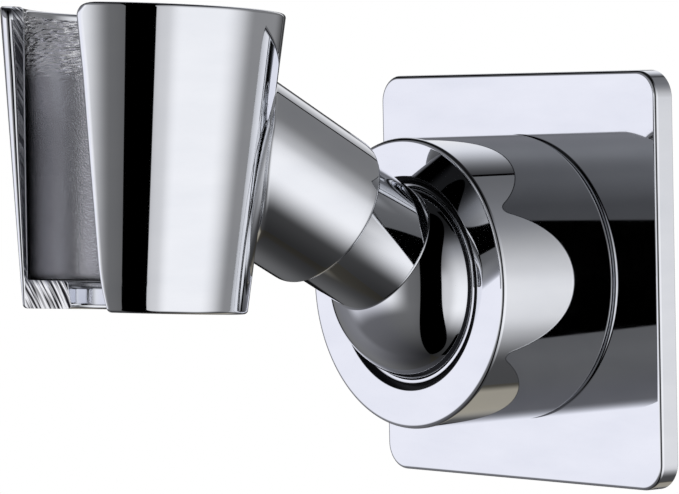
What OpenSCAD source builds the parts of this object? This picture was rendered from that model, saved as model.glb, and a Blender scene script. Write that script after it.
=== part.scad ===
// Hand shower holder: a square wall plate, a ball held by a collar nut, and a slotted cup on the ball's stem.
// The origin is the middle of the wall face. The wall normal is -Y, so the holder reaches towards -Y, and +Z is up.

/* [Wall plate] */
// Width and height of the square plate
plate_w = 60; // [56:1:90]
// Depth of the plate from the wall to its front face
plate_t = 3.3; // [3:0.1:6]
// Radius of the plate's four corners
plate_corner_r = 4; // [2:0.5:8]
// Bevel round the plate's front edge
plate_bevel = 0.4; // [0.2:0.1:0.8]
// Thickness of the plate's front wall
plate_skin = 1.2; // [1:0.1:1.6]
// Thickness of the plate's rim
plate_rim = 1.8; // [1.2:0.1:2.5]

/* [Mounting base] */
// Diameter of the flange behind the plate
flange_d = 50; // [48:1:52]
// Distance between the two wall screws
screw_spacing = 21; // [18:0.5:21.5]
// Diameter of the wall screw holes
screw_hole_d = 4.4; // [3.6:0.1:5]
// Diameter of the recess for a screw head
screw_head_d = 8.6; // [7:0.1:8.6]
// Depth of the recess for a screw head
screw_head_h = 2.6; // [2:0.1:3.2]
// Thickness of the socket's floor
socket_floor = 5.4; // [4.8:0.1:8]
// Wall thickness of the threaded socket
socket_wall = 2.8; // [2:0.1:4]
// Width of the rubber ring in the flange's back
gasket_w = 2; // [1.5:0.1:3]
// Depth of the groove for the rubber ring
gasket_t = 1; // [0.6:0.1:1.2]

/* [Ball joint] */
// Diameter of the ball
ball_d = 28.8; // [26:0.2:34]
// Largest tilt of the arm away from the wall normal
tilt_max = 32; // [20:1:35]
// Diameter of the neck where it leaves the ball
neck_d = 18.8; // [16:0.2:19.6]
// Diameter of the neck where it meets the sleeve
neck_end_d = 20; // [18.4:0.2:21]
// Distance from the ball's centre to the seam between neck and sleeve
neck_reach = 22.2; // [20:0.2:30]
// Thickness of the rubber cushion behind the rear seat
cushion_t = 2.2; // [1.5:0.1:3]

/* [Collar nut] */
// Wall thickness of the collar nut
collar_wall = 2.95; // [2.4:0.05:5]
// Thickness of the lip that holds the ball
lip_t = 2; // [1.4:0.1:3]
// Depth of the bevel that leads into the mouth
mouth_bevel = 0.44; // [0.3:0.02:1]
// Bevel round the outer edges of the collar
collar_bevel = 0.4; // [0.2:0.1:0.8]

/* [Arm] */
// Angle of the arm above the wall normal, as stored
arm_up = 29; // [-30:1:31]
// Distance from the ball's centre to the cup's axis, along the arm
arm_reach = 58.6; // [58:0.1:75]
// Diameter of the sleeve at the seam
sleeve_d = 22.8; // [21.8:0.2:26]
// Diameter of the sleeve inside the cup's wall
sleeve_root_d = 23.2; // [22:0.2:26]
// Radius of the sleeve's rounded edge at the seam
sleeve_round = 0.9; // [0.4:0.1:1]
// Diameter of the spigot inside the sleeve
spigot_d = 16; // [13:0.2:16]
// Length of the spigot
spigot_len = 10.3; // [9:0.1:11]
// Diameter of the screw that holds the cup on the stem
swivel_screw_d = 4; // [3:0.5:5]

/* [Cup] */
// Height of the cup
cup_h = 41; // [38:0.5:55]
// Outer diameter of the cup at its top
cup_top_d = 39; // [38:0.5:44]
// Outer diameter of the cup at its bottom
cup_bottom_d = 30.6; // [29:0.2:34]
// Wall thickness of the cup at its top
cup_wall_top = 3.2; // [2:0.1:4]
// Wall thickness of the cup just above the ledge
cup_wall_low = 1; // [0.8:0.1:2]
// Height of the seat ring at the cup's bottom
seat_h = 3.9; // [3:0.1:8]
// Diameter of the seat ring
seat_d = 20.4; // [18:0.1:24]
// Width of the slot for the hose at the cup's top
slot_w = 15.2; // [14:0.1:17]
// Width of the slot at the cup's bottom
slot_bottom_w = 17.8; // [15:0.1:18.4]
// Radius of the lips' top corners
lip_corner_r = 2; // [0.5:0.1:3]
// Bevel round the cup's rims
cup_bevel = 0.5; // [0.2:0.1:0.8]
// Height of the cup's bottom below the arm's axis, along the cup's axis
cup_drop = 30; // [29:0.5:36]
// Lean of the cup's top towards the wall, as stored
cup_lean = 3.5; // [0:0.5:10]

/* [Hidden] */
$fn = 48;

// Overshoot of a cut past the face that it leaves through
over = 1;
// Radial clearance of parts that turn in each other
run_fit = 0.06;
// Radial clearance of the ball in its seats
ball_gap = 0.15;
// Radial clearance of parts that only lie in each other
loose_fit = 0.2;
// Clearance between flat faces that turn on each other
face_gap = 0.1;
// Spare angle between the neck and the collar's mouth at the largest tilt
tilt_spare = 1.05;

// Socket and collar sizes follow the ball
ball_r = ball_d / 2;
ball_side_gap = 0.8;
ball_floor_gap = 0.5;
seat_r = ball_r + ball_gap;
socket_bore_r = ball_r + ball_side_gap;
socket_r = socket_bore_r + socket_wall;
collar_bore_r = socket_r + run_fit;
collar_r = collar_bore_r + collar_wall;
ball_h = socket_floor + ball_floor_gap + ball_r;
socket_top_gap = 1;
socket_h = ball_h - socket_top_gap;

// The mouth is a cone whose tip is the ball's centre, just wide enough for the tilted neck
mouth_angle = asin(neck_d / ball_d) + tilt_max + tilt_spare;
throat_h = seat_r * cos(mouth_angle);
mouth_out = throat_h + mouth_bevel;
mouth_r = mouth_out * tan(mouth_angle);
collar_front = ball_h + mouth_out;
collar_back = plate_t + face_gap;
lip_back = collar_front - lip_t;

// Flange, plate pocket and rubber ring
pocket_t = plate_t - plate_skin;
pocket_corner_r = max(plate_corner_r - plate_rim, 1);
flange_t = pocket_t - face_gap;
plate_hole_r = socket_r + loose_fit;
gasket_mid_r = (socket_r + flange_d / 2) / 2 + 0.5;
gasket_side_gap = 0.1;

// Seats behind and in front of the ball
cushion_top = socket_floor + cushion_t;
rear_seat_clear = 4.8;
rear_seat_top = ball_h - rear_seat_clear;
rear_hole_r = sqrt(pow(seat_r, 2) - pow(ball_h - cushion_top, 2));
cushion_lip = 1.9;

// Seal between collar and plate
seal_t = 0.8;
seal_w = 1.1;
seal_mid_r = (collar_bore_r + collar_r) / 2;

// Spigot, its ring and its washer
spigot_r = spigot_d / 2;
spigot_bore_r = spigot_r + run_fit;
spigot_end_gap = 0.4;
oring_r = 0.95;
oring_mid_r = spigot_r - oring_r;
oring_at = neck_reach + spigot_len / 2;
groove_w = 2.1;
groove_floor_r = oring_mid_r - oring_r;
washer_t = 0.8;
washer_rim = 1.2;
washer_pocket_r = spigot_r + washer_rim + run_fit;

// Screw through the ball into the sleeve
screw_r = swivel_screw_d / 2;
screw_bore_r = screw_r + loose_fit;
screw_cap_r = swivel_screw_d * 0.9;
screw_cap_h = swivel_screw_d * 0.6;
screw_in_sleeve = 5;
screw_tip = neck_reach + spigot_len + spigot_end_gap + screw_in_sleeve;
pilot_end_gap = 0.5;
head_seat = -2;
head_bore_r = screw_cap_r + 1;
flat_washer_t = 0.8;
flat_washer_r = screw_cap_r + 0.8;
lock_washer_t = 0.9;
lock_washer_r = screw_cap_r;
lock_washer_cut = 0.8;
head_face = head_seat - flat_washer_t - lock_washer_t;
driver_r = screw_cap_r * 0.5;
driver_w = 0.9;
driver_depth = 1.3;

// Cup outline
cup_top_r = cup_top_d / 2;
cup_bottom_r = cup_bottom_d / 2;
seat_bore_r = seat_d / 2;
sleeve_sink = 1.7;
sleeve_end = arm_reach - (cup_bore_r(seat_h) - sleeve_sink);

function cup_outer_r(z) = cup_bottom_r + (cup_top_r - cup_bottom_r) * z / cup_h;
function cup_bore_r(z) =
  cup_outer_r(seat_h) - cup_wall_low
  + (cup_top_r - cup_wall_top - cup_outer_r(seat_h) + cup_wall_low) * (z - seat_h) / (cup_h - seat_h);
function slot_half(z) = (slot_bottom_w + (slot_w - slot_bottom_w) * z / cup_h) / 2;

// Places children with their Z axis along the wall normal, heights counted from the wall
module on_wall() {
  rotate([90, 0, 0]) children();
}

// Places children with their Z axis along the arm, heights counted from the ball's centre
module on_arm() {
  translate([0, -ball_h, 0]) rotate([90 - arm_up, 0, 0]) children();
}

// Places children with their Z axis along the cup's axis, heights counted from the cup's bottom
module on_cup() {
  translate([0, -ball_h - arm_reach * cos(arm_up), arm_reach * sin(arm_up)])
    rotate([-cup_lean, 0, 0])
      translate([0, 0, -cup_drop]) children();
}

// Flat ring between two radii
module ring(outer_r, inner_r, h) {
  difference() {
    cylinder(r = outer_r, h = h);
    translate([0, 0, -over]) cylinder(r = inner_r, h = h + 2 * over);
  }
}

// Square outline with round corners of radius r, whose centres lie at +-c
module rounded_square(c, r) {
  square([2 * (c + r), 2 * c], center = true);
  square([2 * c, 2 * (c + r)], center = true);
  for (x = [-c, c], y = [-c, c]) translate([x, y]) circle(r = r);
}

// Bar with the outline of a bevelled front edge, between two corners of the slab
module bevel_bar(c, r, bevel) {
  foot = c + r;
  top = c + (r - bevel);
  rotate([90, 0, 0])
    linear_extrude(2 * c, center = true)
      polygon([[-foot, 0], [foot, 0], [top, bevel], [-top, bevel]]);
}

// Square slab with round corners and a bevel round its top
module bevelled_slab(c, r, h, bevel) {
  linear_extrude(h - bevel) rounded_square(c, r);
  translate([0, 0, h - bevel]) {
    bevel_bar(c, r, bevel);
    rotate([0, 0, 90]) bevel_bar(c, r, bevel);
    for (x = [-c, c], y = [-c, c]) translate([x, y, 0]) cylinder(r1 = r, r2 = r - bevel, h = bevel);
  }
}

// Square chromed plate, hollow at the back, clamped under the collar nut
module escutcheon() {
  color("gainsboro") on_wall() difference() {
    bevelled_slab(plate_w / 2 - plate_corner_r, plate_corner_r, plate_t, plate_bevel);
    translate([0, 0, -over])
      linear_extrude(pocket_t + over)
        rounded_square(plate_w / 2 - plate_rim - pocket_corner_r, pocket_corner_r);
    translate([0, 0, -over]) cylinder(r = plate_hole_r, h = plate_t + 2 * over);
  }
}

// Moulded flange with the socket that the collar nut screws on
module mounting_base() {
  color("dimgray") on_wall() difference() {
    union() {
      cylinder(d = flange_d, h = flange_t);
      cylinder(r = socket_r, h = socket_h);
    }
    translate([0, 0, socket_floor]) cylinder(r = socket_bore_r, h = socket_h);
    for (x = [-1, 1]) translate([x * screw_spacing / 2, 0, 0]) {
      translate([0, 0, -over]) cylinder(d = screw_hole_d, h = socket_floor + 2 * over);
      translate([0, 0, socket_floor - screw_head_h]) cylinder(d = screw_head_d, h = screw_head_h + over);
    }
    translate([0, 0, -over])
      ring(gasket_mid_r + gasket_w / 2, gasket_mid_r - gasket_w / 2, gasket_t + over);
  }
}

// Rubber ring in the flange's back, flush with the wall face
module base_gasket() {
  half = gasket_w / 2 - gasket_side_gap;
  color("black") on_wall() ring(gasket_mid_r + half, gasket_mid_r - half, gasket_t);
}

// Rubber ring that presses the rear seat on the ball
module seat_cushion() {
  color("black") on_wall() translate([0, 0, socket_floor])
    ring(socket_bore_r - loose_fit, rear_hole_r + cushion_lip, cushion_t);
}

// Low-friction ring behind the ball
module rear_seat() {
  color("white") on_wall() difference() {
    translate([0, 0, cushion_top]) cylinder(r = socket_bore_r - run_fit, h = rear_seat_top - cushion_top);
    translate([0, 0, ball_h]) sphere(r = seat_r);
  }
}

// Chromed nut, with an inner lip that keeps the ball in its socket
module collar_nut() {
  color("silver") on_wall() difference() {
    union() {
      translate([0, 0, collar_back]) cylinder(r1 = collar_r - collar_bevel, r2 = collar_r, h = collar_bevel);
      translate([0, 0, collar_back + collar_bevel])
        cylinder(r = collar_r, h = collar_front - collar_back - 2 * collar_bevel);
      translate([0, 0, collar_front - collar_bevel])
        cylinder(r1 = collar_r, r2 = collar_r - collar_bevel, h = collar_bevel);
    }
    translate([0, 0, collar_back - over]) cylinder(r = collar_bore_r, h = lip_back - collar_back + over);
    translate([0, 0, collar_back - over])
      ring(seal_mid_r + seal_w / 2, seal_mid_r - seal_w / 2, seal_t + over);
    translate([0, 0, ball_h]) sphere(r = seat_r);
    translate([0, 0, ball_h])
      cylinder(r1 = 0, r2 = (mouth_out + over) * tan(mouth_angle), h = mouth_out + over);
  }
}

// Low-friction ring in front of the ball, pushed in the collar nut
module front_seat() {
  color("white") on_wall() difference() {
    translate([0, 0, ball_h]) cylinder(r = collar_bore_r, h = lip_back - ball_h);
    translate([0, 0, ball_h]) sphere(r = seat_r);
  }
}

// Sealing ring between collar nut and plate
module collar_seal() {
  half = seal_w / 2 - gasket_side_gap;
  color("black") on_wall() translate([0, 0, collar_back])
    ring(seal_mid_r + half, seal_mid_r - half, seal_t);
}

// Chromed ball with its neck and the spigot that carries the cup
module ball_stem() {
  color("silver") on_arm() difference() {
    union() {
      sphere(r = ball_r);
      cylinder(r1 = neck_d / 2, r2 = neck_end_d / 2, h = neck_reach);
      cylinder(r = spigot_r, h = neck_reach + spigot_len);
    }
    translate([0, 0, oring_at - groove_w / 2]) ring(spigot_r + over, groove_floor_r, groove_w);
    translate([0, 0, -ball_d]) cylinder(r = head_bore_r, h = ball_d + head_seat);
    translate([0, 0, head_seat - over])
      cylinder(r = screw_bore_r, h = neck_reach + spigot_len - head_seat + 2 * over);
  }
}

// Thrust washer between the neck's shoulder and the sleeve
module thrust_washer() {
  color("white") on_arm() translate([0, 0, neck_reach])
    ring(spigot_r + washer_rim, spigot_r + run_fit, washer_t);
}

// Rubber ring that gives the swivel its friction
module stem_oring() {
  color("black") on_arm() translate([0, 0, oring_at])
    rotate_extrude() translate([oring_mid_r, 0]) circle(r = oring_r, $fn = 24);
}

// Outside of the cup with bevelled rims
module cup_outer() {
  rotate_extrude() polygon([
    [0, 0],
    [cup_bottom_r - cup_bevel, 0],
    [cup_outer_r(cup_bevel), cup_bevel],
    [cup_outer_r(cup_h - cup_bevel), cup_h - cup_bevel],
    [cup_top_r - cup_bevel, cup_h],
    [0, cup_h]
  ]);
}

// Hollow of the cup, with the ledge and the seat ring below it
module cup_hollow() {
  rotate_extrude() polygon([
    [0, -over],
    [seat_bore_r, -over],
    [seat_bore_r, seat_h],
    [cup_bore_r(seat_h), seat_h],
    [cup_bore_r(cup_h - cup_bevel), cup_h - cup_bevel],
    [cup_bore_r(cup_h) + cup_bevel + over, cup_h + over],
    [0, cup_h + over]
  ]);
}

// Slot for the hose, wider at the bottom, with round corners where it meets the top rim
module cup_slot() {
  low = slot_half(-over);
  high = slot_half(cup_h + over);
  corner_x = slot_half(cup_h - lip_corner_r) + lip_corner_r;
  rotate([90, 0, 0]) linear_extrude(cup_top_d) {
    polygon([[-low, -over], [low, -over], [high, cup_h + over], [-high, cup_h + over]]);
    translate([0, cup_h - lip_corner_r]) difference() {
      translate([-corner_x, 0]) square([2 * corner_x, lip_corner_r + over]);
      for (x = [-corner_x, corner_x]) translate([x, 0]) circle(r = lip_corner_r);
    }
  }
}

// Outside of the sleeve, from the seam into the cup's wall
module sleeve_outer() {
  r = sleeve_d / 2;
  translate([0, 0, neck_reach + face_gap]) {
    cylinder(r = r - sleeve_round, h = sleeve_round);
    translate([0, 0, sleeve_round]) {
      rotate_extrude() translate([r - sleeve_round, 0]) circle(r = sleeve_round);
      cylinder(r1 = r, r2 = sleeve_root_d / 2, h = sleeve_end - neck_reach - sleeve_round);
    }
  }
}

// Bores of the sleeve for the washer, the spigot and the screw
module sleeve_bores() {
  bore_end = neck_reach + spigot_len + spigot_end_gap;
  translate([0, 0, neck_reach - over]) cylinder(r = washer_pocket_r, h = washer_t + face_gap + over);
  translate([0, 0, neck_reach - over]) cylinder(r = spigot_bore_r, h = bore_end - neck_reach + over);
  translate([0, 0, bore_end - over]) cylinder(r = screw_r, h = screw_tip + pilot_end_gap - bore_end + over);
}

// Chromed cup and its sleeve, one casting
module cup_holder() {
  color("silver") difference() {
    union() {
      on_cup() cup_outer();
      on_arm() sleeve_outer();
    }
    on_cup() cup_hollow();
    on_cup() cup_slot();
    on_arm() sleeve_bores();
  }
}

// Screw that ties the cup to the stem, with a cross recess
module swivel_screw() {
  color("lightgray") on_arm() difference() {
    union() {
      translate([0, 0, head_face - screw_cap_h]) cylinder(r = screw_cap_r, h = screw_cap_h);
      translate([0, 0, head_face]) cylinder(r = screw_r, h = screw_tip - head_face);
    }
    translate([0, 0, head_face - screw_cap_h - over]) linear_extrude(driver_depth + over) {
      square([2 * driver_r, driver_w], center = true);
      square([driver_w, 2 * driver_r], center = true);
    }
  }
}

// Flat washer under the screw's head
module screw_washer() {
  color("lightgray") on_arm() translate([0, 0, head_seat - flat_washer_t])
    ring(flat_washer_r, screw_bore_r, flat_washer_t);
}

// Split spring washer between head and flat washer
module lock_washer() {
  color("gray") on_arm() translate([0, 0, head_face]) difference() {
    ring(lock_washer_r, screw_bore_r, lock_washer_t);
    translate([-lock_washer_cut / 2, 0, -over])
      cube([lock_washer_cut, lock_washer_r + over, lock_washer_t + 2 * over]);
  }
}

escutcheon();
mounting_base();
base_gasket();
seat_cushion();
rear_seat();
collar_nut();
front_seat();
collar_seal();
ball_stem();
thrust_washer();
stem_oring();
cup_holder();
swivel_screw();
screw_washer();
lock_washer();
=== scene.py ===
import math

import bmesh
import bpy
from mathutils import Matrix, Vector


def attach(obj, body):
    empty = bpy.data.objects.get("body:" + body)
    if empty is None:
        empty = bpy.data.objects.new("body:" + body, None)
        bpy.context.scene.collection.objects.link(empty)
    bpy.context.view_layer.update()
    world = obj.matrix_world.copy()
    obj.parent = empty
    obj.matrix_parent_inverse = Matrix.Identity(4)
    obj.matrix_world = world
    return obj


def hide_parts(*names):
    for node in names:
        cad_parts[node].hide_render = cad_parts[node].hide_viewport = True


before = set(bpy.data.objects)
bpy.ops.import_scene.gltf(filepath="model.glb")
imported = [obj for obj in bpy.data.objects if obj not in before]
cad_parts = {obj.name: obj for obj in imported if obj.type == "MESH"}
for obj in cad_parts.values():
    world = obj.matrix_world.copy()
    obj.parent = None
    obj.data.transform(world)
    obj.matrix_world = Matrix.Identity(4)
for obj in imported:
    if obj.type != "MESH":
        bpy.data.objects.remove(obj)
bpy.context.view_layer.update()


# ---- Camera -------------------------------------------------------------------------------------
# A long lens from the front right, a little above the middle of the wall plate. Its place, roll and
# focal length are those at which the plate, collar, ball and cup fall where the photograph has them.
camera_place = Vector((0.43544, -0.39772, 0.02807))
camera_azimuth = math.radians(50.362)
camera_elevation = math.radians(2.26)
camera_roll = math.radians(-1.171)

camera_back = Vector((math.sin(camera_azimuth) * math.cos(camera_elevation),
                      -math.cos(camera_azimuth) * math.cos(camera_elevation),
                      math.sin(camera_elevation)))
level_right = (-camera_back).cross(Vector((0, 0, 1))).normalized()
level_up = level_right.cross(-camera_back)
camera_right = math.cos(camera_roll) * level_right + math.sin(camera_roll) * level_up
camera_up = math.cos(camera_roll) * level_up - math.sin(camera_roll) * level_right

lens = bpy.data.cameras.new("camera")
lens.sensor_fit = "HORIZONTAL"
lens.sensor_width = 36
lens.lens = 211.2
lens.clip_start = 0.01
camera = bpy.data.objects.new("camera", lens)
camera.matrix_world = Matrix.Translation(camera_place) @ Matrix(
    (camera_right, camera_up, camera_back)).transposed().to_4x4()
bpy.context.scene.collection.objects.link(camera)
bpy.context.scene.camera = camera
bpy.context.scene.view_settings.view_transform = "Standard"


# ---- Studio -------------------------------------------------------------------------------------
# A white tent with two big soft lights and one tall black flag beside the camera. Polished chrome has
# no look of its own, so the flag and the soft edges of the lights draw every stripe and gradient on it.
def add(tree, kind, links=None, output=0, **settings):
    """Adds a node to a tree with its settings, sets or links its inputs, and gives one of its outputs."""
    made = tree.nodes.new(kind)
    for name, value in settings.items():
        setattr(made, name, value)
    for socket, value in (links or {}).items():
        if isinstance(value, bpy.types.NodeSocket):
            tree.links.new(value, made.inputs[socket])
        else:
            made.inputs[socket].default_value = value
    return made.outputs[output] if len(made.outputs) else made


studio = bpy.data.worlds.new("studio_tent")
bpy.context.scene.world = studio
studio.use_nodes = True
tent = studio.node_tree
tent.nodes.clear()

sight = add(tent, "ShaderNodeSeparateXYZ", {0: add(tent, "ShaderNodeTexCoord")}).node
towards_wall = add(tent, "ShaderNodeMath", {0: sight.outputs["Y"], 1: -1.0}, operation="MULTIPLY")
around = add(tent, "ShaderNodeMath", {0: add(
    tent, "ShaderNodeMath", {0: sight.outputs["X"], 1: towards_wall}, operation="ARCTAN2")},
    operation="DEGREES")
upward = add(tent, "ShaderNodeMath", {0: add(
    tent, "ShaderNodeMath", {0: sight.outputs["Z"]}, operation="ARCSINE")}, operation="DEGREES")


def soft_edge(angle, start, end):
    """The soft edge of a light or card: 0 at one angle, rising to 1 at another."""
    return add(tent, "ShaderNodeMapRange", {"Value": angle, "From Min": start, "From Max": end},
               interpolation_type="SMOOTHSTEP")


def dimmed(*factors):
    """What is left of a light, or of a share of it, after each of these factors."""
    result = factors[0]
    for factor in factors[1:]:
        result = add(tent, "ShaderNodeMath", {0: result, 1: factor}, operation="MULTIPLY")
    return result


def panel(level, left, right, low, high):
    """A soft light: its level, and the pairs of angles over which each of its four edges fades in."""
    return dimmed(soft_edge(around, *left), soft_edge(around, *right),
                    soft_edge(upward, *low), soft_edge(upward, *high), level)


# a slanting seam of the tent, behind on the left: degrees from it, counted towards the rim light
slanted = add(tent, "ShaderNodeMath", {0: upward, 1: 0.5, 2: around}, operation="MULTIPLY_ADD")
past_seam = add(tent, "ShaderNodeMath", {0: slanted, 1: 151.8}, operation="ADD")
lights = [
    panel(0.88, (-74, -51), (27, -2), (-34, -11), (12, 5)),       # key light, left of the camera
    panel(0.07, (-110, -60), (60, 20), (-90, -40), (58, 20)),     # its glow on the tent
    panel(0.17, (-70, -20), (30, 0), (8, 20), (60, 36)),          # tent above the camera
    panel(0.95, (54, 86), (157, 121), (-64, -26), (62, -12)),     # side light, right of the camera
    panel(0.30, (62, 63), (76, 64), (-62, -34), (22, 2)),         # the light that leaks past the flag
    dimmed(panel(0.85, (-180, -138), (-108, -128), (-12, 2), (58, 34)),  # rim light, behind on the left
             soft_edge(past_seam, -1, 1)),
    panel(0.15, (128, 150), (181, 180.5), (2, 14), (60, 46)),     # tent above the wall, right half
    dimmed(panel(0.15, (-181, -180.5), (-150, -152), (2, 14), (60, 46)),  # and left half
             soft_edge(past_seam, 0, -1)),
    panel(0.10, (-130, -100), (-60, -75), (-70, -30), (30, 10)),  # far left side of the tent
    panel(0.28, (-179, -170), (-128, -142), (-66, -54), (-26, -38)),  # the light bench behind the wall
    panel(0.19, (122, 146), (181, 180.5), (-30, -20), (8, -2)),   # the wall's own glow, right half
    panel(0.19, (-181, -180.5), (-150, -174), (-30, -20), (8, -2)),  # and left half
]
tent_level = add(tent, "ShaderNodeMapRange", {"Value": upward, "From Min": -90.0, "From Max": -25.0,
                                              "To Min": 0.02, "To Max": 0.10})
for light in lights:
    tent_level = add(tent, "ShaderNodeMath", {0: tent_level, 1: light}, operation="ADD")
# the room behind the lights darkens upward, and most of all straight above
tent_level = add(tent, "ShaderNodeMath", {0: tent_level, 1: dimmed(soft_edge(upward, 8, 34), 0.05)},
                 operation="SUBTRACT")
tent_level = dimmed(tent_level, add(tent, "ShaderNodeMapRange", {
    "Value": upward, "From Min": 42.0, "From Max": 66.0, "To Min": 1.0, "To Max": 0.25}))

# the flag spreads with height, as the edges of a tall flat card do, on its right more than on its left
height = add(tent, "ShaderNodeMath", {0: upward}, operation="ABSOLUTE")
spread_left = dimmed(add(tent, "ShaderNodeMath", {0: height, 1: 2.0}, operation="POWER"), 9 / 60 ** 2)
spread_right = dimmed(add(tent, "ShaderNodeMath", {0: height, 1: 3.0}, operation="POWER"), 19 / 60 ** 3)
from_left = add(tent, "ShaderNodeMath", {0: around, 1: spread_left}, operation="ADD")
from_right = add(tent, "ShaderNodeMath", {0: around, 1: spread_right}, operation="SUBTRACT")


def flag(*edges):
    """What a black card leaves of the light: 0 where it stands and 1 beside it."""
    return add(tent, "ShaderNodeMath", {0: 1.0, 1: dimmed(*edges)}, operation="SUBTRACT")


# how straight behind the table a direction points, from the camera: a dark doorway stands there, which
# draws the thin dark outline round every rounded piece
straight_behind = add(tent, "ShaderNodeVectorMath", {
    0: add(tent, "ShaderNodeTexCoord"), 1: tuple(-camera_back)}, "Value", operation="DOT_PRODUCT")
tent_level = dimmed(
    tent_level,
    flag(soft_edge(straight_behind, math.cos(math.radians(23)), math.cos(math.radians(17))), 0.93),
    # beside the lens, full height
    flag(soft_edge(from_left, 38.6, 39.2), soft_edge(from_right, 63.8, 63.2), soft_edge(upward, -90, -88)),
    # the open corner, upper left
    flag(soft_edge(around, -100, -90), soft_edge(around, -56, -64), soft_edge(upward, 20, 30),
         soft_edge(upward, 80, 60)),
    # the seam
    flag(soft_edge(past_seam, -1.6, -1), soft_edge(past_seam, 1.4, 0.8), soft_edge(upward, -14, -8),
         soft_edge(upward, 60, 50)))

ray = add(tent, "ShaderNodeLightPath").node
key_side = dimmed(soft_edge(around, -110, -85), soft_edge(around, 12, -25))
level_tint = add(tent, "ShaderNodeMix", {
    "Factor": key_side, "A": (0.965, 0.97, 1.0, 1.0), "B": (0.90, 0.905, 0.99, 1.0)}, "Result", data_type="RGBA")
above = add(tent, "ShaderNodeMix", {
    "Factor": soft_edge(upward, 18, 40), "A": level_tint, "B": (0.91, 0.93, 1.0, 1.0)}, "Result", data_type="RGBA")
warm = dimmed(soft_edge(around, -120, -140), soft_edge(upward, -24, -40))
tent_tint = add(tent, "ShaderNodeMix", {
    "Factor": warm, "A": above, "B": (1.0, 0.93, 0.78, 1.0)}, "Result", data_type="RGBA")
tent_light = add(tent, "ShaderNodeBackground", {"Color": tent_tint, "Strength": tent_level})
backdrop = add(tent, "ShaderNodeBackground", {"Color": (1, 1, 1, 1), "Strength": 1.0})
seen = add(tent, "ShaderNodeMixShader", {0: ray.outputs["Is Camera Ray"], 1: tent_light, 2: backdrop})
add(tent, "ShaderNodeOutputWorld", {"Surface": seen})

# The floor is a pale round table far below the holder, which fades into the white of the backdrop.
floor_drop = 0.20
floor_radius = 0.60
floor_mesh = bpy.data.meshes.new("floor")
table = bmesh.new()
bmesh.ops.create_circle(table, cap_ends=True, segments=96, radius=floor_radius,
                        matrix=Matrix.Translation((0, -0.05, -floor_drop)))
table.to_mesh(floor_mesh)
table.free()
floor = bpy.data.objects.new("floor", floor_mesh)
bpy.context.scene.collection.objects.link(floor)

pale = bpy.data.materials.new("pale_floor")
pale.use_nodes = True
laid = pale.node_tree
laid.nodes.clear()
spot = add(laid, "ShaderNodeVectorMath", {0: add(laid, "ShaderNodeTexCoord", output="Object"),
                                          1: (0, -0.05, -floor_drop)}, operation="DISTANCE").node
rim = add(laid, "ShaderNodeMapRange", {"Value": spot.outputs["Value"], "From Min": 0.35 * floor_radius,
                                       "From Max": 0.97 * floor_radius}, interpolation_type="SMOOTHSTEP")
matt = add(laid, "ShaderNodeBsdfDiffuse", {"Color": (0.93, 0.93, 0.93, 1)})
white = add(laid, "ShaderNodeEmission", {"Color": (1, 1, 1, 1), "Strength": 1.0})
top_side = add(laid, "ShaderNodeMixShader", {0: rim, 1: matt, 2: white})
through = add(laid, "ShaderNodeBsdfTransparent")
from_below = add(laid, "ShaderNodeNewGeometry").node.outputs["Backfacing"]
add(laid, "ShaderNodeOutputMaterial", {"Surface": add(
    laid, "ShaderNodeMixShader", {0: from_below, 1: top_side, 2: through})})
floor_mesh.materials.append(pale)
floor.visible_glossy = False

# One wide lamp overhead gives the matt parts their shape. It stays out of the chrome's reflections.
overhead = bpy.data.lights.new("overhead", "AREA")
overhead.shape = "RECTANGLE"
overhead.size = 0.9
overhead.size_y = 0.9
overhead.energy = 9
overhead_lamp = bpy.data.objects.new("overhead", overhead)
overhead_lamp.location = (-0.15, -0.45, 0.85)
overhead_lamp.rotation_euler = (Vector((0, -0.04, 0)) - overhead_lamp.location).to_track_quat(
    "-Z", "Y").to_euler()
overhead_lamp.visible_glossy = False
bpy.context.scene.collection.objects.link(overhead_lamp)


# ---- Wall plate ---------------------------------------------------------------------------------
# A square plate, pressed from 1.2 mm brass with its rim turned back to the wall, polished and chromed.
# It is held by the collar nut and has nothing else on it, so the room is mirrored in it without a ripple.
MM = 0.001
plate_side = 60
plate_depth = 3.3
plate_corner = 4
plate_edge = 0.55
plate_skin = 1.2
plate_rim = 1.8
plate_hole = 18.2


def linear(hex_colour):
    """Turns an sRGB hex colour into linear red, green, blue and alpha."""
    channels = [int(hex_colour[i:i + 2], 16) / 255 for i in (1, 3, 5)]
    return [c / 12.92 if c <= 0.04045 else ((c + 0.055) / 1.055) ** 2.4 for c in channels] + [1.0]


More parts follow.
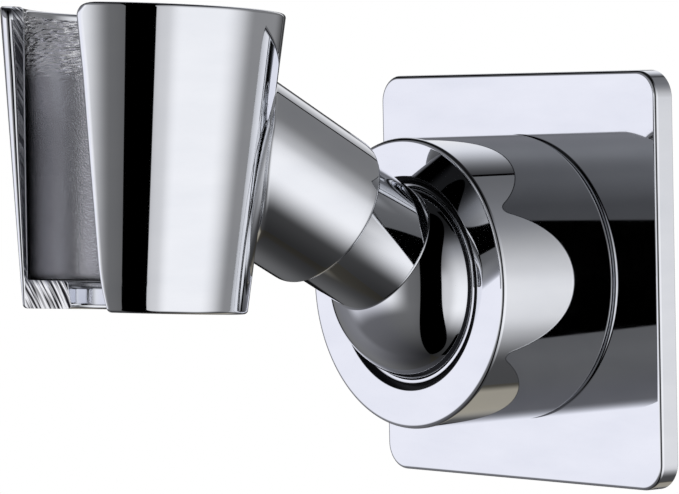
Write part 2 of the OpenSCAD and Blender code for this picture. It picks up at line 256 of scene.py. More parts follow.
def chrome(name, colour, haze=0.02, ripple=0.0):
    """Polished chrome on brass: a hard mirror, with faint wipe marks that only dull it here and there.
    haze is its roughness, ripple the height in mm of the slow waves that polishing leaves in it."""
    material = bpy.data.materials.new(name)
    material.use_nodes = True
    tree = material.node_tree
    tree.nodes.clear()
    place = add(tree, "ShaderNodeTexCoord", output="Object")
    # wipe marks about 12 mm long: they let the eye see that the mirror is a surface
    stretched = add(tree, "ShaderNodeMapping", {"Vector": place, "Scale": (80, 80, 260)})
    marks = add(tree, "ShaderNodeTexNoise", {"Vector": stretched, "Scale": 1.0, "Detail": 3.0})
    dulling = add(tree, "ShaderNodeMapRange", {"Value": marks, "From Min": 0.45, "From Max": 0.75,
                                               "To Min": haze, "To Max": haze + 0.03})
    # the plating is a touch darker where the marks lie
    tint = add(tree, "ShaderNodeMix", {
        "Factor": marks, "A": linear(colour), "B": linear("#E4E6EA")}, "Result", data_type="RGBA")
    sockets = {"Base Color": tint, "Metallic": 1.0, "Roughness": dulling}
    if ripple:
        # waves of about 9 mm, so slow that they only bend the long reflections
        waves = add(tree, "ShaderNodeTexNoise", {"Vector": place, "Scale": 110.0, "Detail": 0.0})
        sockets["Normal"] = add(tree, "ShaderNodeBump", {"Height": waves, "Distance": ripple * MM})
    add(tree, "ShaderNodeOutputMaterial", {"Surface": add(tree, "ShaderNodeBsdfPrincipled", sockets)})
    return material


def piece_from(name, verts, faces, material, groups=None):
    """Makes an object from points in millimetres, smooth, with doubles merged and faces turned out."""
    mesh = bpy.data.meshes.new(name)
    shape = bmesh.new()
    corners = [shape.verts.new(Vector(v) * MM) for v in verts]
    for number, face in enumerate(faces):
        made = shape.faces.new([corners[i] for i in face])
        made.smooth = True
        made.material_index = groups[number] if groups else 0
    bmesh.ops.remove_doubles(shape, verts=shape.verts, dist=1e-7)
    bmesh.ops.dissolve_degenerate(shape, dist=1e-7, edges=shape.edges)
    bmesh.ops.recalc_face_normals(shape, faces=shape.faces)
    shape.to_mesh(mesh)
    shape.free()
    for entry in material if isinstance(material, (list, tuple)) else [material]:
        mesh.materials.append(entry)
    made = bpy.data.objects.new(name, mesh)
    bpy.context.scene.collection.objects.link(made)
    return made


def rounded_square_ring(side, corner, depth, steps=24):
    """Points round a square with round corners, at one distance from the wall."""
    centre = side / 2 - corner
    points = []
    for quarter in range(4):
        cx = centre * (1, -1, -1, 1)[quarter]
        cz = centre * (1, 1, -1, -1)[quarter]
        for k in range(steps + 1):
            turn = math.radians(90 * (quarter + k / steps))
            points.append((cx + corner * math.cos(turn), -depth, cz + corner * math.sin(turn)))
        # points along the straight side too, so that the round hole in line with them stays round
        along = 2 * centre / steps
        x, _, z = points[-1]
        for k in range(1, steps):
            points.append((x - along * k * math.sin(turn), -depth, z + along * k * math.cos(turn)))
    return points


def circle_under(ring, radius, depth):
    """Points on a circle round the wall normal, one in line with each point of a ring."""
    points = []
    for x, _, z in ring:
        length = math.hypot(x, z)
        points.append((x / length * radius, -depth, z / length * radius))
    return points


def strips(rings, closed_rings=True):
    """Quads that join each ring of points to the next, and the last to the first."""
    count = len(rings[0])
    verts = [point for ring in rings for point in ring]
    faces = []
    for a in range(len(rings) if closed_rings else len(rings) - 1):
        b = (a + 1) % len(rings)
        for i in range(count):
            j = (i + 1) % count
            faces.append((a * count + i, a * count + j, b * count + j, b * count + i))
    return verts, faces


# an extra ring this close to an edge, in mm, keeps the flat face beside it flat in the reflections
hold = 0.03
plate_rings = []
outline = rounded_square_ring(plate_side, plate_corner, plate_depth)
plate_rings.append(circle_under(outline, plate_hole, plate_depth))
plate_rings.append(circle_under(outline, plate_hole + hold, plate_depth))
for inset in (plate_edge + 3, plate_edge + hold):
    plate_rings.append(rounded_square_ring(
        plate_side - 2 * inset, max(plate_corner - inset, 0.4), plate_depth))
edge_steps = 10
for k in range(edge_steps + 1):
    turn = math.radians(90 * k / edge_steps)
    inset = plate_edge * (1 - math.sin(turn))
    plate_rings.append(rounded_square_ring(
        plate_side - 2 * inset, plate_corner - inset, plate_depth - plate_edge * (1 - math.cos(turn))))
plate_rings.append(rounded_square_ring(plate_side, plate_corner, plate_depth - plate_edge - hold))
plate_rings.append(rounded_square_ring(plate_side, plate_corner, 0.05 + 2 * hold))
plate_rings.append(rounded_square_ring(plate_side, plate_corner, 0.05 + hold))
plate_rings.append(rounded_square_ring(plate_side - 0.1, plate_corner - 0.05, 0))
inner_side = plate_side - 2 * plate_rim
inner_corner = plate_corner - plate_rim
plate_rings.append(rounded_square_ring(inner_side + 2 * hold, inner_corner + hold, 0))
plate_rings.append(rounded_square_ring(inner_side, inner_corner, 0))
plate_rings.append(rounded_square_ring(inner_side, inner_corner, hold))
back_of_skin = plate_depth - plate_skin
plate_rings.append(rounded_square_ring(inner_side, inner_corner, back_of_skin - hold))
plate_rings.append(rounded_square_ring(inner_side, inner_corner, back_of_skin))
plate_rings.append(rounded_square_ring(inner_side - 2 * hold, inner_corner - hold, back_of_skin))
plate_rings.append(circle_under(outline, plate_hole + hold, back_of_skin))
plate_rings.append(circle_under(outline, plate_hole, back_of_skin))
verts, faces = strips(plate_rings)
plate = piece_from("wall_plate", verts, faces, chrome("polished_chrome_on_brass_sheet", "#F3F4F6"))
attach(plate, "wall_base")
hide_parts("escutcheon")


# ---- Mounting base, rubber rings and seats ------------------------------------------------------
# The base is moulded in dark nylon; its flange hides in the plate and its socket carries the ball's
# seats. The rings are cut from black sealing rubber, the seats and the thrust washer from white acetal.
def moulded(name, colour, shade, grain, roughness, height):
    """A plastic or rubber surface: two close colours in a fine grain, which also lifts the surface.
    grain is the grain's width and height its depth, both in mm."""
    material = bpy.data.materials.new(name)
    material.use_nodes = True
    tree = material.node_tree
    tree.nodes.clear()
    place = add(tree, "ShaderNodeTexCoord", output="Object")
    specks = add(tree, "ShaderNodeTexNoise", {"Vector": place, "Scale": 1 / (grain * MM), "Detail": 2.0})
    tint = add(tree, "ShaderNodeMix", {
        "Factor": specks, "A": linear(colour), "B": linear(shade)}, "Result", data_type="RGBA")
    rough = add(tree, "ShaderNodeMapRange", {"Value": specks, "To Min": roughness - 0.08,
                                             "To Max": roughness + 0.08})
    lift = add(tree, "ShaderNodeBump", {"Height": specks, "Distance": height * MM})
    add(tree, "ShaderNodeOutputMaterial", {"Surface": add(tree, "ShaderNodeBsdfPrincipled", {
        "Base Color": tint, "Roughness": rough, "Normal": lift})})
    return material


nylon = moulded("moulded_nylon", "#232326", "#2E2E31", 0.5, 0.48, 0.02)
black_rubber = moulded("sealing_rubber", "#121212", "#1C1C1C", 0.3, 0.62, 0.02)
acetal = moulded("turned_acetal", "#E2E2DC", "#D6D6CF", 0.4, 0.34, 0.005)
cad_looks = {
    "mounting_base": nylon,
    "base_gasket": black_rubber,
    "seat_cushion": black_rubber,
    "collar_seal": black_rubber,
    "stem_oring": black_rubber,
    "rear_seat": acetal,
    "front_seat": acetal,
    "thrust_washer": acetal,
}
for node_name, look in cad_looks.items():
    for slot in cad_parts[node_name].material_slots:
        slot.material = look


# ---- Collar nut ---------------------------------------------------------------------------------
# The ring that screws on the socket and keeps the ball in, turned from brass bar, polished and chromed.
# Its flat front face runs into a bevelled mouth, and under the lip a spherical seat lies on the ball.
ball_height = 20.3
ball_radius = 14.4
seat_radius = 14.55
collar_radius = 21.01
collar_bore = 18.06
collar_back = 3.4
collar_front = 24.8
collar_lip = 2.0
mouth_slope = math.radians(73.79)
mouth_bevel = (0.84, 0.66)
mouth_round = 0.12
land_width = 0.42
rim_round = 0.65
turned_steps = 256


def arc(cx, cy, radius, start, end, steps):
    """Points on an arc in the section of a turned part, angles in degrees."""
    return [(cx + radius * math.cos(math.radians(start + (end - start) * k / steps)),
             cy + radius * math.sin(math.radians(start + (end - start) * k / steps)))
            for k in range(steps + 1)]


turned_tree = bpy.data.node_groups.new("turned_part", "GeometryNodeTree")
turned_tree.interface.new_socket("Section", in_out="INPUT", socket_type="NodeSocketGeometry")
turns_in = turned_tree.interface.new_socket("Steps Round", in_out="INPUT", socket_type="NodeSocketInt")
path_in = turned_tree.interface.new_socket("Path Radius", in_out="INPUT", socket_type="NodeSocketFloat")
metal_in = turned_tree.interface.new_socket("Metal", in_out="INPUT", socket_type="NodeSocketMaterial")
turned_tree.interface.new_socket("Turned Part", in_out="OUTPUT", socket_type="NodeSocketGeometry")
given = add(turned_tree, "NodeGroupInput").node.outputs
section_curve = add(turned_tree, "GeometryNodeMeshToCurve", {"Mesh": given["Section"]})
path = add(turned_tree, "GeometryNodeCurvePrimitiveCircle", {
    "Resolution": given["Steps Round"], "Radius": given["Path Radius"]})
upright = add(turned_tree, "GeometryNodeSetCurveNormal", {"Curve": path}, mode="Z_UP")
swept = add(turned_tree, "GeometryNodeCurveToMesh", {"Curve": upright, "Profile Curve": section_curve})
real = add(turned_tree, "GeometryNodeRealizeInstances", {"Geometry": swept})
plated = add(turned_tree, "GeometryNodeSetMaterial", {"Geometry": real, "Material": given["Metal"]})
add(turned_tree, "NodeGroupOutput", {"Turned Part": plated})


def turned(name, section, metal, placing):
    """Turns a closed section, given as (radius, height) in mm, into a ring, and places it."""
    path_radius = 10 * MM
    mesh = bpy.data.meshes.new(name + "_section")
    # the sweep lays the section's x away from the path's middle and its y down the axis
    points = [(r * MM - path_radius, -h * MM, 0) for r, h in section]
    mesh.from_pydata(points, [(i, (i + 1) % len(points)) for i in range(len(points))], [])
    raw = bpy.data.objects.new(name + "_section", mesh)
    bpy.context.scene.collection.objects.link(raw)
    sweep = raw.modifiers.new("turned_part", "NODES")
    sweep.node_group = turned_tree
    sweep[turns_in.identifier] = turned_steps
    sweep[path_in.identifier] = path_radius
    sweep[metal_in.identifier] = metal
    bpy.context.view_layer.update()
    result = bpy.data.meshes.new_from_object(raw.evaluated_get(bpy.context.evaluated_depsgraph_get()))
    raw.modifiers.remove(sweep)
    bpy.data.objects.remove(raw)
    shape = bmesh.new()
    shape.from_mesh(result)
    bmesh.ops.recalc_face_normals(shape, faces=shape.faces)
    for face in shape.faces:
        face.smooth = True
    bmesh.ops.transform(shape, matrix=placing, verts=shape.verts)
    shape.to_mesh(result)
    shape.free()
    result.name = name
    made = bpy.data.objects.new(name, result)
    bpy.context.scene.collection.objects.link(made)
    return made


on_wall = Matrix.Rotation(math.radians(90), 4, "X")
mouth_radius = (collar_front - ball_height) * math.tan(mouth_slope)
throat = math.degrees(mouth_slope)
lip_start = math.degrees(math.acos((collar_front - collar_lip - ball_height) / seat_radius))
throat_radius = seat_radius * math.sin(mouth_slope)
throat_height = ball_height + seat_radius * math.cos(mouth_slope)
bevel_foot = (mouth_radius - mouth_bevel[0], collar_front - mouth_bevel[1])
collar_section = (
    [(collar_bore, collar_back), (collar_bore + hold, collar_back),
     (collar_radius - rim_round - hold, collar_back)]
    + arc(collar_radius - rim_round, collar_back + rim_round, rim_round, -90, 0, 6)
    + [(collar_radius, collar_back + rim_round + 3 * hold),
       (collar_radius, collar_front - rim_round - 3 * hold)]
    + arc(collar_radius - rim_round, collar_front - rim_round, rim_round, 0, 90, 8)
    + [(collar_radius - rim_round - hold, collar_front), (mouth_radius + mouth_round + hold, collar_front)]
    + arc(mouth_radius + mouth_round * 0.5, collar_front - mouth_round, mouth_round, 90, 128, 4)
    + [(bevel_foot[0] + 0.02, bevel_foot[1] + 0.02), bevel_foot,
       (bevel_foot[0] - 0.04, bevel_foot[1] + 0.01), (throat_radius + land_width + 0.06, throat_height - 0.03),
       (throat_radius + land_width, throat_height), (throat_radius + 0.04, throat_height)]
    + [(seat_radius * math.sin(math.radians(a)), ball_height + seat_radius * math.cos(math.radians(a)))
       for a in (throat, throat + 0.3, (throat + lip_start) / 2, lip_start - 0.3, lip_start)]
    + [(collar_bore - hold, collar_front - collar_lip), (collar_bore, collar_front - collar_lip)]
)
collar = turned("collar_nut_turned", collar_section,
                chrome("polished_chrome_on_turned_brass", "#F3F4F6"), on_wall)

# the bevel and the groove at its foot are coloured near black: painted shade, which draws the dark band round the
# ball's mouth
painted_shade_bevel = bpy.data.materials.new("painted_shade_in_mouth_bevel")
painted_shade_bevel.use_nodes = True
dull = painted_shade_bevel.node_tree
dull.nodes.clear()
# tool marks of 0.2 mm, which keep its glints broken
tool_marks = add(dull, "ShaderNodeTexNoise", {
    "Vector": add(dull, "ShaderNodeTexCoord", output="Object"), "Scale": 1 / (0.2 * MM), "Detail": 1.0})
painted_shade_tint = add(dull, "ShaderNodeMix", {
    "Factor": tool_marks, "A": linear("#1B1B1D"), "B": linear("#2A2A2C")}, "Result", data_type="RGBA")
add(dull, "ShaderNodeOutputMaterial", {"Surface": add(dull, "ShaderNodeBsdfPrincipled", {
    "Base Color": painted_shade_tint, "Metallic": 1.0, "Roughness": 0.3})})
collar.data.materials.append(painted_shade_bevel)
for face in collar.data.polygons:
    face_radius = math.hypot(face.center.x, face.center.z) / MM
    if (throat_radius + land_width < face_radius < mouth_radius
            and bevel_foot[1] - 0.05 < -face.center.y / MM < collar_front - mouth_round / 2):
        face.material_index = 1
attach(collar, "collar")
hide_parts("collar_nut")


# ---- Ball and neck ------------------------------------------------------------------------------
# Ball, neck and spigot are one turned piece of brass, chromed. The neck leaves the ball with a sharp
# inner corner, widens a little towards the sleeve, and the spigot behind it carries the cup.
arm_up = 29
neck_start = 9.4
neck_end = 10.0
neck_reach = 22.2
spigot_radius = 8.0
spigot_end = 32.5
groove = (26.3, 28.4)
groove_floor = 5.15
screw_bore = 2.2
head_bore = 4.6
head_seat = -1.98  # 0.02 mm clear of the washer that turns on it

on_arm = Matrix.Translation((0, -ball_height * MM, 0)) @ Matrix.Rotation(math.radians(90 - arm_up), 4, "X")
back_angle = math.degrees(math.asin(head_bore / ball_radius))
neck_angle = math.degrees(math.asin(neck_start / ball_radius))
neck_foot = ball_radius * math.cos(math.radians(neck_angle))
neck_slope = (neck_end - neck_start) / neck_reach
neck_root = neck_start + neck_slope * neck_foot
# angles of the ball's points, from the middle of its back to the neck
ball_steps = 130
ball_angles = [back_angle + 0.2] + [back_angle + 1 + k * (179 - back_angle - neck_angle - 1) / ball_steps
                                    for k in range(ball_steps + 1)]
stem_section = (
    [(screw_bore, head_seat), (head_bore, head_seat),
     (head_bore, -ball_radius * math.cos(math.radians(back_angle)))]
    + [(ball_radius * math.sin(math.radians(a)), -ball_radius * math.cos(math.radians(a))) for a in ball_angles]
    + [(neck_root, neck_foot), (neck_root + 0.002, neck_foot + 0.12),
       (neck_end - 0.25, neck_reach - 0.6), (neck_end - 0.1, neck_reach - 0.15),
       (neck_end - 0.3, neck_reach),
       (spigot_radius + hold, neck_reach), (spigot_radius, neck_reach), (spigot_radius, groove[0]),
       (groove_floor + 0.95, groove[0]), (groove_floor + 0.95, groove[1]), (spigot_radius, groove[1]),
       (spigot_radius, spigot_end), (screw_bore, spigot_end)]
)
stem = turned("ball_and_neck", stem_section, chrome("polished_chrome_on_ball", "#F1F2F4"), on_arm)
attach(stem, "stem")
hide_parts("ball_stem")


# ---- Cup and sleeve -----------------------------------------------------------------------------
# One zinc casting, polished and chromed outside, left satin inside where the polishing wheel can't
# reach. The cup tapers to a seat ring, is slotted at the front, and a small fillet joins the sleeve.
arm_reach = 58.6
cup_lean = 3.5
cup_drop = 30
cup_height = 41
cup_top = 19.5
cup_bottom = 15.3
bore_top = 16.3
bore_low = 14.7
seat_height = 3.9
seat_bore = 10.2
slot_top = 15.2
slot_bottom = 17.8
slot_flare = 0.6
flare_height = 6.5
lip_corner = 2.0
rim_edge = 0.5
polished_rim = 0.9

cup_cross = Vector((0, -ball_height - arm_reach * math.cos(math.radians(arm_up)),
                    arm_reach * math.sin(math.radians(arm_up)))) * MM
on_cup = (Matrix.Translation(cup_cross) @ Matrix.Rotation(math.radians(-cup_lean), 4, "X")
          @ Matrix.Translation((0, 0, -cup_drop * MM)))


def wall_outside(z):
    """Outer radius of the cup at a height above its bottom."""
    return cup_bottom + (cup_top - cup_bottom) * z / cup_height


def wall_inside(z):
    """Radius of the cup's hollow at a height above its bottom."""
    return bore_low + (bore_top - bore_low) * (z - seat_height) / (cup_height - seat_height)


def slot_half(z):
    """Half the slot's width at a height above the cup's bottom."""
    flare = slot_flare * max(0, 1 - z / flare_height) ** 2
    return (slot_bottom + (slot_top - slot_bottom) * z / cup_height) / 2 + flare


wall_round_steps = 150
lip_steps = 7


def slotted_ring(z, outer, inner, half, edge, inner_edge, around_steps=wall_round_steps, edge_steps=lip_steps):
    """One level of the cup: the outer arc, the lip's two rounded edges, the inner arc, and back."""
    outer_y = math.sqrt((outer - edge) ** 2 - (half + edge) ** 2)
    inner_y = math.sqrt((inner + inner_edge) ** 2 - (half + inner_edge) ** 2)
    outer_turn = math.atan2(outer_y, half + edge)
    inner_turn = math.atan2(inner_y, half + inner_edge)
    side = []
    # half of the level, from the back of the outside round the +x side to the back of the inside;
    # angles are counted from +x, negative towards the slot
    for k in range(around_steps + 1):
        turn = math.pi / 2 - (math.pi / 2 + outer_turn) * k / around_steps
        side.append((outer * math.cos(turn), outer * math.sin(turn)))
    for k in range(1, edge_steps + 1):
        turn = -outer_turn - (math.pi - outer_turn) * k / edge_steps
        side.append((half + edge + edge * math.cos(turn), -outer_y + edge * math.sin(turn)))
    side.append((half, -outer_y + hold))
    side.append((half, -inner_y - hold))
    for k in range(edge_steps):
        turn = math.pi - inner_turn * k / edge_steps
        side.append((half + inner_edge + inner_edge * math.cos(turn),
                     -inner_y + inner_edge * math.sin(turn)))
    for k in range(around_steps + 1):
        turn = -inner_turn + (math.pi / 2 + inner_turn) * k / around_steps
        side.append((inner * math.cos(turn), inner * math.sin(turn)))
    return [(x, y, z) for x, y in side]


cup_levels = []


def level(z, outer_inset=0.0, inner_inset=0.0, inner=None):
    """Adds one level of the cup, with its rims drawn in by the given amounts."""
    outer = wall_outside(z) - outer_inset
    hollow = (wall_inside(z) if inner is None else inner) + inner_inset
    half = slot_half(min(z, cup_height - lip_corner))
    corner = z - (cup_height - lip_corner)
    if corner > 0:
        half += lip_corner - math.sqrt(max(lip_corner ** 2 - corner ** 2, 0))
    wall = wall_outside(z) - wall_inside(max(z, seat_height))
    edge = min(0.95, 0.36 * wall)
    cup_levels.append(slotted_ring(z, outer, hollow, half, edge, min(0.45, 0.3 * wall)))


rim_steps = 6
for k in range(rim_steps + 1):
    turn = math.radians(90 * k / rim_steps)
    level(rim_edge * (1 - math.cos(turn)), rim_edge * (1 - math.sin(turn)), 0.4 * (1 - math.sin(turn)),
          seat_bore)
for z in (rim_edge + hold, 1.5, 2.6, seat_height - 0.45):
    level(z, inner=seat_bore)
for k in range(1, 5):
    turn = math.radians(90 * k / 4)
    level(seat_height - 0.4 + 0.3 * math.sin(turn), 0, 0.3 * (1 - math.cos(turn)), seat_bore)
level(seat_height - 0.08, 0, 0, seat_bore + 0.5)
level(seat_height, 0, 0, bore_low - 0.2)
level(seat_height + 0.15)
wall_steps = 46
for k in range(1, wall_steps + 1):
    level(seat_height + 0.15 + (cup_height - lip_corner - seat_height - 0.15) * k / wall_steps)
corner_steps = 12
corner_end = cup_height - rim_edge - hold
for k in range(1, corner_steps + 1):
    level(cup_height - lip_corner
          + (corner_end - cup_height + lip_corner) * math.sin(math.pi / 2 * k / corner_steps))
for k in range(rim_steps + 1):
    turn = math.radians(90 * k / rim_steps)
    drawn_in = rim_edge * (1 - math.cos(turn))
    level(cup_height - rim_edge * (1 - math.sin(turn)), drawn_in, drawn_in)

chain = len(cup_levels[0])
# where the hollow's wall starts in each level's chain of points, and where the slot's flat face lies
inside_from = chain - wall_round_steps - 1
slot_face = wall_round_steps + lip_steps + 1
polished, satin_inside, milled_face = 0, 1, 2
cup_verts = []
cup_faces = []
cup_groups = []
for mirror in (1, -1):
    base = len(cup_verts)
    cup_verts += [(mirror * x, y, z) for ring in cup_levels for x, y, z in ring]
    for a in range(len(cup_levels) - 1):
        for i in range(chain - 1):
            quad = [base + a * chain + i, base + a * chain + i + 1,
                    base + (a + 1) * chain + i + 1, base + (a + 1) * chain + i]
            cup_faces.append(quad if mirror > 0 else quad[::-1])
            z_mid = (cup_levels[a][0][2] + cup_levels[a + 1][0][2]) / 2
            inside = i >= inside_from - 1 and seat_height + 0.02 < z_mid < cup_height - polished_rim
            cup_groups.append(milled_face if i == slot_face else satin_inside if inside else polished)
    for a, turned_over in ((0, mirror > 0), (len(cup_levels) - 1, mirror < 0)):
        # the flat rims join the outer half of the level to the inner half, point by point
        half_chain = chain // 2
        for i in range(half_chain - 1 + chain % 2):
            quad = [base + a * chain + i, base + a * chain + i + 1,
                    base + a * chain + chain - 2 - i, base + a * chain + chain - 1 - i]
            if quad[1] == quad[2]:
                quad = quad[:2] + quad[3:]
            cup_faces.append(quad[::-1] if turned_over else quad)
            cup_groups.append(polished)
cup_verts = [tuple(on_cup @ (Vector(v) * MM) / MM) for v in cup_verts]

# The sleeve: rings round the arm's axis, then the fillet on which a small ball would roll, then a skin
# just under the cup's surface that closes it.
sleeve_start = 22.3
sleeve_end = 45.6
sleeve_radius = 11.4
sleeve_root = 11.6
sleeve_round = 0.9
sleeve_bore = 8.1
sleeve_bore_end = 32.9
washer_recess = (9.3, 23.15)  # radius and depth
fillet = 1.6
sleeve_steps = 240
to_cup = (on_cup.inverted() @ on_arm)


def sleeve_outside(s):
    """Outer radius of the sleeve at a distance from the ball's centre."""
    return sleeve_radius + (sleeve_root - sleeve_radius) * (s - sleeve_start) / (sleeve_end - sleeve_start)


def on_sleeve(turn, radius, s):
    """A point round the arm's axis, in the arm's own frame."""
    return Vector((radius * math.cos(turn), radius * math.sin(turn), s))


def cup_gap(point):
    """Distance of a point in the arm's frame from the cup's outer cone, and the cone's normal there."""
    local = to_cup @ (point * MM) / MM
    slope = (cup_top - cup_bottom) / cup_height
    lean = 1 / math.sqrt(1 + slope * slope)
    across = math.hypot(local.x, local.y)
    normal = Vector((local.x / across * lean, local.y / across * lean, -slope * lean))
    return (across - wall_outside(local.z)) * lean, to_cup.to_3x3().inverted() @ normal


def meets_cup(turn, radius, gap):
    """Distance along the arm at which a line beside its axis comes as close as this to the cup."""
    near, far = 25.0, 52.0
    for _ in range(48):
        middle = (near + far) / 2
        if cup_gap(on_sleeve(turn, radius, middle))[0] > gap:
            near = middle
        else:
            far = middle
    return near


columns = []
length_steps = 18
fillet_steps = 12
skin_steps = 10
for i in range(sleeve_steps):
    turn = 2 * math.pi * i / sleeve_steps
    column = [on_sleeve(turn, sleeve_bore, sleeve_bore_end), on_sleeve(turn, sleeve_bore, washer_recess[1]),
              on_sleeve(turn, *washer_recess), on_sleeve(turn, washer_recess[0], sleeve_start + hold),
              on_sleeve(turn, washer_recess[0] + hold, sleeve_start)]
    column += [on_sleeve(turn, r, s) for r, s in
               [(sleeve_radius - sleeve_round - hold, sleeve_start)]
               + [(x, y) for x, y in arc(sleeve_radius - sleeve_round, sleeve_start + sleeve_round,
                                         sleeve_round, -90, 0, 9)]]
    ball_s = meets_cup(turn, sleeve_radius + fillet, fillet)
    for _ in range(3):
        ball_s = meets_cup(turn, sleeve_outside(ball_s) + fillet, fillet)
    centre = on_sleeve(turn, sleeve_outside(ball_s) + fillet, ball_s)
    foot = sleeve_start + sleeve_round
    for k in range(1, length_steps + 1):
        s = foot + (ball_s - foot) * (k / length_steps)
        column.append(on_sleeve(turn, sleeve_outside(s), s))
    to_sleeve = on_sleeve(turn, -1, 0)
    to_wall = -cup_gap(centre)[1].normalized()
    opening = to_sleeve.angle(to_wall)
    for k in range(1, fillet_steps + 1):
        part = opening * k / fillet_steps
        direction = (to_sleeve * math.sin(opening - part) + to_wall * math.sin(part)) / math.sin(opening)
        column.append(centre + direction * fillet)
    landing = centre + to_wall * fillet
    column.append(landing + to_wall * 0.06)
    reach = math.hypot(landing.x, landing.y)
    for k in range(1, skin_steps + 1):
        # the columns' turns differ slightly where the fillet lands, so each keeps its own
        own_turn = math.atan2(landing.y, landing.x)
        radius = max(reach * (1 - k / skin_steps), 0.01)
        column.append(on_sleeve(own_turn, radius, meets_cup(own_turn, radius, -0.5)))
    columns.append(column)

rows = list(zip(*columns))
sleeve_verts, sleeve_faces = strips([[tuple(p) for p in row] for row in rows], closed_rings=False)
last_row = (len(rows) - 1) * sleeve_steps
sleeve_faces.append(tuple(range(sleeve_steps)))
sleeve_faces.append(tuple(range(last_row, last_row + sleeve_steps)))
start = len(cup_verts)
sleeve_verts = [tuple(on_arm @ (Vector(v) * MM) / MM) for v in sleeve_verts]
cup_verts += sleeve_verts
cup_faces += [tuple(start + i for i in face) for face in sleeve_faces]
cup_groups += [polished] * len(sleeve_faces)

satin = bpy.data.materials.new("satin_chrome_as_cast")
satin.use_nodes = True
grainy = satin.node_tree
grainy.nodes.clear()
inside_place = add(grainy, "ShaderNodeTexCoord", output="Object")
# cast grain of 0.25 mm under the plating: gives the hollow its dull sparkle
grain = add(grainy, "ShaderNodeTexNoise", {"Vector": inside_place, "Scale": 1 / (0.25 * MM), "Detail": 2.0})
grain_lift = add(grainy, "ShaderNodeBump", {"Height": grain, "Distance": 0.028 * MM})
# flow lines of the casting, level and 0.4 mm apart: strong in the top 9 mm, where the die ran hottest
flow_space = add(grainy, "ShaderNodeMapping", {"Vector": inside_place, "Scale": (450, 450, 2700)})
flow = add(grainy, "ShaderNodeTexNoise", {"Vector": flow_space, "Scale": 1.0, "Detail": 1.0})
inside_height = add(grainy, "ShaderNodeSeparateXYZ", {0: inside_place}, "Z")
near_top = add(grainy, "ShaderNodeMapRange", {
    "Value": inside_height, "From Min": 0.0285, "From Max": 0.0375}, interpolation_type="SMOOTHSTEP")
satin_lift = add(grainy, "ShaderNodeBump", {"Strength": near_top, "Height": flow, "Distance": 0.5 * MM,
                                            "Normal": grain_lift})
satin_rough = add(grainy, "ShaderNodeMapRange", {"Value": grain, "To Min": 0.05, "To Max": 0.11})
satin_tint = add(grainy, "ShaderNodeMix", {
    "Factor": flow, "A": linear("#F5F5F6"), "B": linear("#EAEAEC")}, "Result", data_type="RGBA")
add(grainy, "ShaderNodeOutputMaterial", {"Surface": add(grainy, "ShaderNodeBsdfPrincipled", {
    "Base Color": satin_tint, "Metallic": 1.0, "Roughness": satin_rough, "Normal": satin_lift})})

milled = bpy.data.materials.new("milled_edge_chrome_with_painted_reflections")
milled.use_nodes = True
cut = milled.node_tree
cut.nodes.clear()
# cutter marks 0.4 mm apart, which slope down across the slot's faces and break their reflections up
slot_place = add(cut, "ShaderNodeTexCoord", output="Object")
cut_place = add(cut, "ShaderNodeMapping", {"Vector": slot_place, "Rotation": (math.radians(-57), 0, 0),
                                           "Scale": (3 * MM, 9 * MM, 0.4 * MM)}, vector_type="TEXTURE")
cutter = add(cut, "ShaderNodeTexNoise", {"Vector": cut_place, "Scale": 1.0, "Detail": 1.5})
cut_lift = add(cut, "ShaderNodeBump", {"Height": cutter, "Distance": 0.16 * MM})
cut_rough = add(cut, "ShaderNodeMapRange", {"Value": cutter, "To Min": 0.06, "To Max": 0.16})
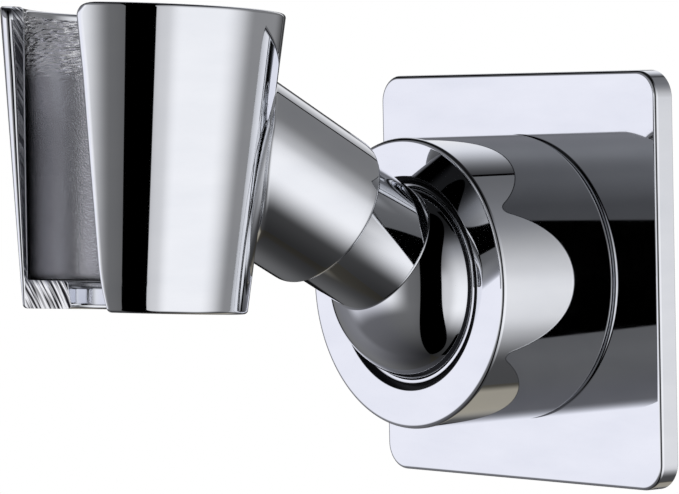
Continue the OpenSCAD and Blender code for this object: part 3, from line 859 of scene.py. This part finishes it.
# painted reflections in the cutter marks: black lines painted on the bright seat below, and a face painted dull
# dark grey with lighter painted lines above it, which fade half-way down the slot
painted_reflection_streaks = add(cut, "ShaderNodeMapRange", {"Value": cutter, "From Min": 0.42, "From Max": 0.56})
cut_height = add(cut, "ShaderNodeSeparateXYZ", {0: slot_place}, "Z")
painted_lines_above = add(cut, "ShaderNodeMapRange", {"Value": cut_height, "From Min": 0.012, "From Max": 0.024,
                                              "To Min": 0.08}, interpolation_type="SMOOTHSTEP")
painted_lines_fading = add(cut, "ShaderNodeMath", {0: painted_reflection_streaks, 1: painted_lines_above}, operation="MULTIPLY")
painted_dark_face = add(cut, "ShaderNodeMix", {
    "Factor": painted_lines_fading, "A": linear("#6E7076"), "B": linear("#D4D5D9")}, "Result", data_type="RGBA")
painted_streaked_seat = add(cut, "ShaderNodeMix", {
    "Factor": painted_reflection_streaks, "A": linear("#1E1E22"), "B": linear("#F2F2F4")}, "Result", data_type="RGBA")
above_seat = add(cut, "ShaderNodeMapRange", {"Value": cut_height, "From Min": 0.0022, "From Max": 0.0032})
painted_reflection_tint = add(cut, "ShaderNodeMix", {
    "Factor": above_seat, "A": painted_streaked_seat, "B": painted_dark_face}, "Result", data_type="RGBA")
add(cut, "ShaderNodeOutputMaterial", {"Surface": add(cut, "ShaderNodeBsdfPrincipled", {
    "Base Color": painted_reflection_tint, "Metallic": 1.0, "Roughness": cut_rough, "Normal": cut_lift})})

cup = piece_from("cup_and_sleeve", cup_verts, cup_faces,
                 [chrome("polished_chrome_on_zinc", "#F1F2F4", ripple=0.002), satin, milled], cup_groups)
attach(cup, "cup")
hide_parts("cup_holder")


# ---- Swivel screw and its washers ---------------------------------------------------------------
# A plain stainless screw in the ball's back ties the cup's sleeve to the stem, over a flat washer and a
# split spring washer. They keep their turned and stamped finish, and only a taken-apart holder shows them.
steel = bpy.data.materials.new("plain_stainless_steel")
steel.use_nodes = True
brushed = steel.node_tree
brushed.nodes.clear()
steel_place = add(brushed, "ShaderNodeTexCoord", output="Object")
# turning marks 0.2 mm apart, drawn as fine stretched noise
turning = add(brushed, "ShaderNodeMapping", {"Vector": steel_place, "Scale": (5000, 600, 5000)})
lines = add(brushed, "ShaderNodeTexNoise", {"Vector": turning, "Scale": 1.0, "Detail": 1.0})
steel_tint = add(brushed, "ShaderNodeMix", {
    "Factor": lines, "A": linear("#B9B9BA"), "B": linear("#9D9DA0")}, "Result", data_type="RGBA")
steel_rough = add(brushed, "ShaderNodeMapRange", {"Value": lines, "To Min": 0.22, "To Max": 0.38})
add(brushed, "ShaderNodeOutputMaterial", {"Surface": add(brushed, "ShaderNodeBsdfPrincipled", {
    "Base Color": steel_tint, "Metallic": 1.0, "Roughness": steel_rough})})
for node_name in ("swivel_screw", "screw_washer", "lock_washer"):
    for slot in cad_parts[node_name].material_slots:
        slot.material = steel
